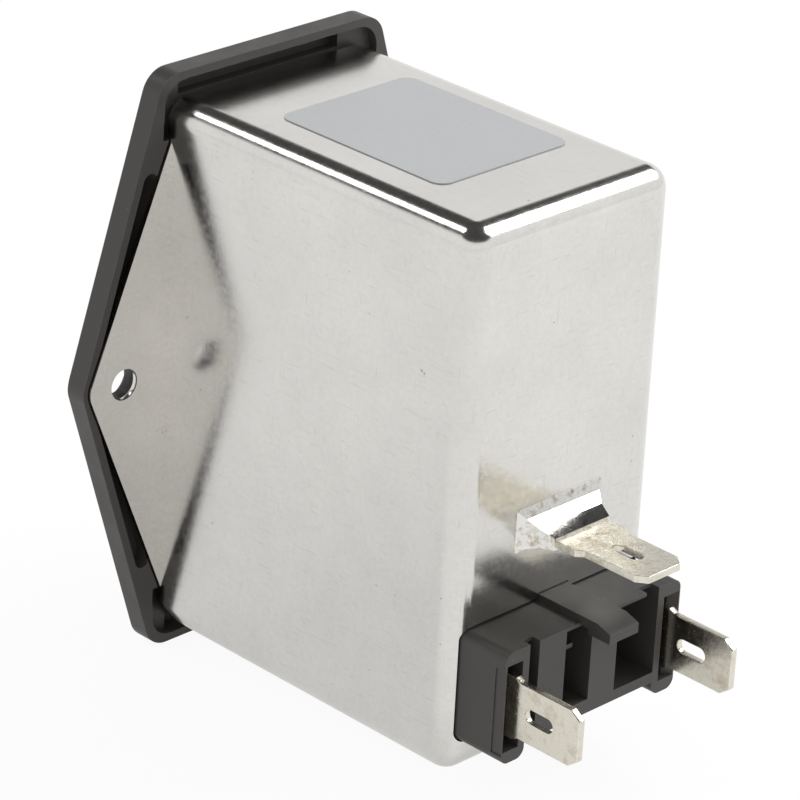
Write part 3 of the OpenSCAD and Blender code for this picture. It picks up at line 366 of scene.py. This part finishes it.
def moulded_plastic(name, colour, rough=0.42, grain=0.10, dust=0.5):
    """Black moulding: satin, lightly worn on its edges, with a little dust."""
    tree, shader = new_material(name)
    where = millimetres(tree)
    skin = effect(tree, "moulding grain", Vector=where, Dust=dust)
    edge = effect(tree, "edge finder", Width=0.2 * MM)
    base = mixed(tree, skin["Tone"], rgba(colour, 0.88), rgba(colour, 1.12))
    worn = math_node(tree, "MULTIPLY", edge["Edge"], spread(tree, noise_of(tree, where, 0.8, 3.0), 0.35, 0.7, 0.1, 0.55))
    base = mixed(tree, worn, base, rgba(tuple(c * 2.1 + 0.01 for c in colour)))
    base = mixed(tree, math_node(tree, "MULTIPLY", skin["Dust"], 0.6), base, (0.42, 0.40, 0.37, 1.0))
    wire(tree, base, shader.inputs["Base Color"])
    shader.inputs["Specular IOR Level"].default_value = 0.42
    wire(tree, spread(tree, skin["Tone"], 0.3, 0.7, rough * 0.88, rough * 1.15), shader.inputs["Roughness"])
    bump(tree, shader, skin["Height"], grain, 0.02 * MM)
    return MATERIALS[name]


def glossy_metal(name, colour, rough=0.1, stain=None):
    """Bright metal: solder, plated caps, springs and contacts."""
    tree, shader = new_material(name)
    where = millimetres(tree)
    cloud = effect(tree, "mottle", Vector=where)
    base = mixed(tree, cloud["Fine"], rgba(colour, 0.9), rgba(colour, 1.08))
    if stain is not None:
        patch = spread(tree, noise_of(tree, where, 0.9, 4.0, 0.6), 0.52, 0.7)
        base = mixed(tree, patch, base, rgba(stain))
    wire(tree, base, shader.inputs["Base Color"])
    shader.inputs["Metallic"].default_value = 1.0
    wire(tree, spread(tree, cloud["Cloud"], 0.3, 0.7, rough * 0.7, rough * 1.6), shader.inputs["Roughness"])
    bump(tree, shader, cloud["Fine"], 0.15)
    return MATERIALS[name]


def coated(name, colour, rough=0.35, coat=0.0, bumpiness=0.1, tone=0.12):
    """Plain dielectric: board, capacitor cases, lacquer, film, ferrite."""
    tree, shader = new_material(name)
    where = millimetres(tree)
    cloud = effect(tree, "mottle", Vector=where)
    base = mixed(tree, cloud["Cloud"], rgba(colour, 1.0 - tone), rgba(colour, 1.0 + tone))
    base = mixed(tree, math_node(tree, "MULTIPLY", cloud["Specks"], 0.4), base, rgba(colour, 0.5))
    wire(tree, base, shader.inputs["Base Color"])
    shader.inputs["Coat Weight"].default_value = coat
    wire(tree, spread(tree, cloud["Fine"], 0.3, 0.7, rough * 0.85, rough * 1.2), shader.inputs["Roughness"])
    bump(tree, shader, cloud["Fine"], bumpiness, 0.03 * MM)
    return MATERIALS[name]


def clear_glass(name):
    tree, shader = new_material(name)
    where = millimetres(tree)
    haze = noise_of(tree, where, 0.4, 3.0)
    shader.inputs["Base Color"].default_value = (0.93, 0.97, 0.96, 1.0)
    shader.inputs["Transmission Weight"].default_value = 1.0
    shader.inputs["IOR"].default_value = 1.5
    wire(tree, spread(tree, haze, 0.3, 0.8, 0.02, 0.12), shader.inputs["Roughness"])
    bump(tree, shader, noise_of(tree, where, 0.25, 1.0), 0.05)
    return MATERIALS[name]


# ---------------------------------------------------------------- mesh helpers

def finished(bm, name, body, material, smooth_angle=32.0, stands_for=()):
    """Turns a bmesh into a piece that rides on a body."""
    mesh = bpy.data.meshes.new(name)
    bmesh.ops.recalc_face_normals(bm, faces=bm.faces)
    bm.to_mesh(mesh)
    bm.free()
    mesh.materials.append(material)
    for face in mesh.polygons:
        face.use_smooth = True
    mesh.set_sharp_from_angle(angle=math.radians(smooth_angle))
    piece = bpy.data.objects.new(name, mesh)
    bpy.context.scene.collection.objects.link(piece)
    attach(piece, body)
    if stands_for:
        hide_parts(*stands_for)
    return piece


def solid_copy(name):
    """The solid's surface as one joined mesh with its flat triangles merged."""
    bm = bmesh.new()
    bm.from_mesh(NODES[name].data)
    bmesh.ops.remove_doubles(bm, verts=bm.verts, dist=0.5e-6)
    bmesh.ops.dissolve_limit(bm, angle_limit=math.radians(0.4), verts=bm.verts, edges=bm.edges, delimit={"NORMAL"})
    bmesh.ops.dissolve_degenerate(bm, edges=bm.edges, dist=0.2e-6)
    return bm


def soften(bm, width, low=28.0, segments=2):
    """Rounds every edge sharper than the given angle."""
    sharp = [e for e in bm.edges if len(e.link_faces) == 2 and e.calc_face_angle(0.0) > math.radians(low)]
    bmesh.ops.bevel(bm, geom=sharp, offset=width, offset_type="OFFSET", segments=segments, profile=0.5,
                    affect="EDGES", clamp_overlap=True, material=-1)


def weight_normals(piece):
    made = piece.modifiers.new("even shading", "WEIGHTED_NORMAL")
    made.keep_sharp = True
    made.weight = 60


def dress(names, material):
    for name in names:
        slots = NODES[name].data.materials
        slots.clear()
        slots.append(material)


# ---------------------------------------------------------------- operators

class FILTER_OT_finishes(bpy.types.Operator):
    """Builds the shared effects and every finish"""
    bl_idname = "filter_part.finishes"
    bl_label = "Finishes"

    def execute(self, context):
        c = colours()
        GROUPS["fine scratches"] = build_scratches()
        GROUPS["mottle"] = build_mottle()
        GROUPS["moulding grain"] = build_grain()
        GROUPS["edge finder"] = build_edge_finder()
        tinned_sheet("tinned_steel", tuple(c.tin))
        stamped_tin("tin_contact", tuple(c.blade))
        moulded_plastic("black_plastic", tuple(c.moulding))
        moulded_plastic("switch_plastic", (0.02, 0.02, 0.02), rough=0.25, grain=0.05, dust=0.3)
        glossy_metal("solder", (0.74, 0.73, 0.70), 0.09, stain=(0.42, 0.36, 0.26))
        coated("label_film", tuple(c.label), rough=0.4, bumpiness=0.03, tone=0.03)
        glossy_metal("bronze_spring", (0.80, 0.55, 0.26), 0.22)
        glossy_metal("copper_contact", (0.80, 0.48, 0.32), 0.2, stain=(0.7, 0.68, 0.64))
        glossy_metal("spring_steel", (0.55, 0.55, 0.57), 0.18)
        glossy_metal("fuse_metal", (0.74, 0.73, 0.70), 0.14)
        clear_glass("fuse_glass")
        coated("board_laminate", (0.03, 0.13, 0.06), 0.35, 0.4)
        coated("ferrite", (0.05, 0.05, 0.055), 0.45, 0.1, 0.3)
        glossy_metal("enamelled_copper", (0.66, 0.27, 0.10), 0.2)
        coated("capacitor_yellow", (0.62, 0.42, 0.05), 0.3, 0.2)
        coated("capacitor_blue", (0.03, 0.12, 0.35), 0.25, 0.4, 0.2)
        coated("resistor_body", (0.50, 0.38, 0.20), 0.3, 0.4)
        coated("insulating_film", (0.72, 0.72, 0.66), 0.4, 0.0, 0.05)
        return {"FINISHED"}


class FILTER_OT_inner_works(bpy.types.Operator):
    """Gives every solid the finish of its material slot"""
    bl_idname = "filter_part.inner_works"
    bl_label = "Inner works"

    def execute(self, context):
        for part in frame["record"]["subparts"]:
            dress([part["node"]], MATERIALS[part["material_slot"]])
        return {"FINISHED"}


class FILTER_OT_can(bpy.types.Operator):
    """The drawn can with its two ears"""
    bl_idname = "filter_part.can"
    bl_label = "Can"

    def execute(self, context):
        bm = solid_copy("can")
        soften(bm, sizes().can_edge, low=40.0)
        piece = finished(bm, "can_shell", "base", MATERIALS["tinned_steel"], stands_for=("can",))
        weight_normals(piece)
        return {"FINISHED"}


class FILTER_OT_mouldings(bpy.types.Operator):
    """The bezel, the terminal block and the drawer with softened edges"""
    bl_idname = "filter_part.mouldings"
    bl_label = "Mouldings"

    def execute(self, context):
        for name, body, slot in (("bezel", "base", "black_plastic"), ("terminal_block", "base", "black_plastic"),
                                 ("fuse_drawer", "drawer", "black_plastic"), ("rocker", "rocker", "switch_plastic"),
                                 ("switch_housing", "base", "switch_plastic")):
            bm = solid_copy(name)
            soften(bm, sizes().moulding_edge)
            piece = finished(bm, name + "_moulding", body, MATERIALS[slot], stands_for=(name,))
            weight_normals(piece)
        return {"FINISHED"}


class FILTER_OT_tabs(bpy.types.Operator):
    """The three blade tabs with stamped edges"""
    bl_idname = "filter_part.tabs"
    bl_label = "Blade tabs"

    def execute(self, context):
        for name in ("load_tab_line", "load_tab_neutral", "earth_tab", "pin_line", "pin_neutral", "pin_earth"):
            bm = solid_copy(name)
            soften(bm, sizes().tab_edge)
            piece = finished(bm, name + "_blade", "base", MATERIALS["tin_contact"], stands_for=(name,))
            weight_normals(piece)
        return {"FINISHED"}


def turned_frame():
    """Right, up and back directions of the camera."""
    azimuth, elevation, roll = (math.radians(a) for a in (134.18, 25.355, 2.977))
    right = Vector((math.cos(azimuth), math.sin(azimuth), 0.0))
    back = Vector((math.sin(azimuth) * math.cos(elevation), -math.cos(azimuth) * math.cos(elevation), math.sin(elevation)))
    up = back.cross(right)
    return (right * math.cos(roll) + up * math.sin(roll), up * math.cos(roll) - right * math.sin(roll), back)


class FILTER_OT_stage(bpy.types.Operator):
    """Floor, light and camera"""
    bl_idname = "filter_part.stage"
    bl_label = "Stage"

    def execute(self, context):
        scene = context.scene
        scene.view_settings.view_transform = "Standard"
        self.floor(scene)
        self.world(scene)
        self.lamps(scene)
        self.camera(scene)
        return {"FINISHED"}

    def floor(self, scene):
        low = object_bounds()[0].z
        bm = bmesh.new()
        bmesh.ops.create_grid(bm, x_segments=1, y_segments=1, size=3.0)
        for vertex in bm.verts:
            vertex.co.z = low - 0.05 * MM
        mesh = bpy.data.meshes.new("floor")
        bm.to_mesh(mesh)
        bm.free()
        floor = bpy.data.objects.new("floor", mesh)
        scene.collection.objects.link(floor)
        material = bpy.data.materials.new("floor")
        material.use_nodes = True
        tree = material.node_tree
        tree.nodes.clear()
        plain = node(tree, "ShaderNodeBsdfDiffuse", inputs={"Color": (0.86, 0.86, 0.86, 1.0)})
        white = node(tree, "ShaderNodeEmission", inputs={"Color": (1.0, 1.0, 1.0, 1.0), "Strength": 1.0})
        rays = node(tree, "ShaderNodeLightPath")
        seen = math_node(tree, "MAXIMUM", math_node(tree, "MULTIPLY", rays.outputs["Is Camera Ray"], 0.93),
                         math_node(tree, "MULTIPLY", rays.outputs["Is Glossy Ray"], 0.6))
        mix = node(tree, "ShaderNodeMixShader")
        wire(tree, seen, mix.inputs["Fac"])
        wire(tree, plain.outputs[0], mix.inputs[1])
        wire(tree, white.outputs[0], mix.inputs[2])
        out = node(tree, "ShaderNodeOutputMaterial")
        wire(tree, mix.outputs[0], out.inputs["Surface"])
        mesh.materials.append(material)
        floor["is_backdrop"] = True

    def world(self, scene):
        world = bpy.data.worlds.new("studio")
        scene.world = world
        world.use_nodes = True
        tree = world.node_tree
        tree.nodes.clear()
        place = node(tree, "ShaderNodeTexCoord")
        split = node(tree, "ShaderNodeSeparateXYZ")
        wire(tree, place.outputs["Generated"], split.inputs[0])
        rays = node(tree, "ShaderNodeLightPath")
        ceiling = spread(tree, split.outputs["Z"], 0.44, 0.56, 1.0, 0.06, smooth=True)
        glossy = mixed(tree, rays.outputs["Is Glossy Ray"], (0.80, 0.80, 0.80, 1.0), ceiling)
        shown = mixed(tree, math_node(tree, "MAXIMUM", rays.outputs["Is Camera Ray"], rays.outputs["Is Transmission Ray"]),
                      glossy, (1.0, 1.0, 1.0, 1.0))
        back = node(tree, "ShaderNodeBackground", inputs={"Strength": 1.0})
        wire(tree, shown, back.inputs["Color"])
        out = node(tree, "ShaderNodeOutputWorld")
        wire(tree, back.outputs[0], out.inputs["Surface"])

    def lamps(self, scene):
        for name, direction, distance, size, power in (
                ("box over the back", (-0.65, 0.30, 0.68), 0.9, 0.42, 5.0),
                ("box over the front", (0.35, -0.75, 0.85), 1.1, 0.25, 1.0)):
            lamp = bpy.data.lights.new(name, "AREA")
            lamp.shape = "SQUARE"
            lamp.size = size
            lamp.energy = power
            made = bpy.data.objects.new(name, lamp)
            towards = Vector(direction).normalized()
            made.matrix_world = Matrix.Translation(towards * distance) @ towards.to_track_quat("Z", "Y").to_matrix().to_4x4()
            scene.collection.objects.link(made)

    def camera(self, scene):
        right, up, back = turned_frame()
        data = bpy.data.cameras.new("camera")
        data.sensor_width = 36.0
        data.lens = sizes().camera_lens
        data.clip_start = 0.01
        data.clip_end = 20.0
        made = bpy.data.objects.new("camera", data)
        place = back * sizes().camera_distance + right * 14.328 * MM - up * 6.987 * MM
        turn = Matrix((right, up, back)).transposed().to_4x4()
        made.matrix_world = Matrix.Translation(place) @ turn
        scene.collection.objects.link(made)
        scene.camera = made


class FILTER_PT_panel(bpy.types.Panel):
    """Lists the filter's pieces"""
    bl_idname = "FILTER_PT_panel"
    bl_label = "Mains entry filter"
    bl_space_type = "VIEW_3D"
    bl_region_type = "UI"
    bl_category = "Filter"

    def draw(self, context):
        for operator in OPERATORS:
            self.layout.operator(operator.bl_idname)
        for group in (sizes(), colours()):
            for name in group.bl_rna.properties.keys():
                if name not in {"rna_type", "name"}:
                    self.layout.prop(group, name)


OPERATORS = (FILTER_OT_finishes, FILTER_OT_inner_works, FILTER_OT_can, FILTER_OT_mouldings, FILTER_OT_tabs,
             FILTER_OT_stage)
CLASSES = (FilterSizes, FilterColours) + OPERATORS + (FILTER_PT_panel,)


def register():
    for entry in CLASSES:
        bpy.utils.register_class(entry)
    bpy.types.Scene.filter_sizes = bpy.props.PointerProperty(type=FilterSizes)
    bpy.types.Scene.filter_colours = bpy.props.PointerProperty(type=FilterColours)


def unregister():
    del bpy.types.Scene.filter_colours
    del bpy.types.Scene.filter_sizes
    for entry in reversed(CLASSES):
        bpy.utils.unregister_class(entry)


def main():
    register()
    for operator in OPERATORS:
        group, name = operator.bl_idname.split(".")
        getattr(getattr(bpy.ops, group), name)()


if __name__ == "__main__":
    main()
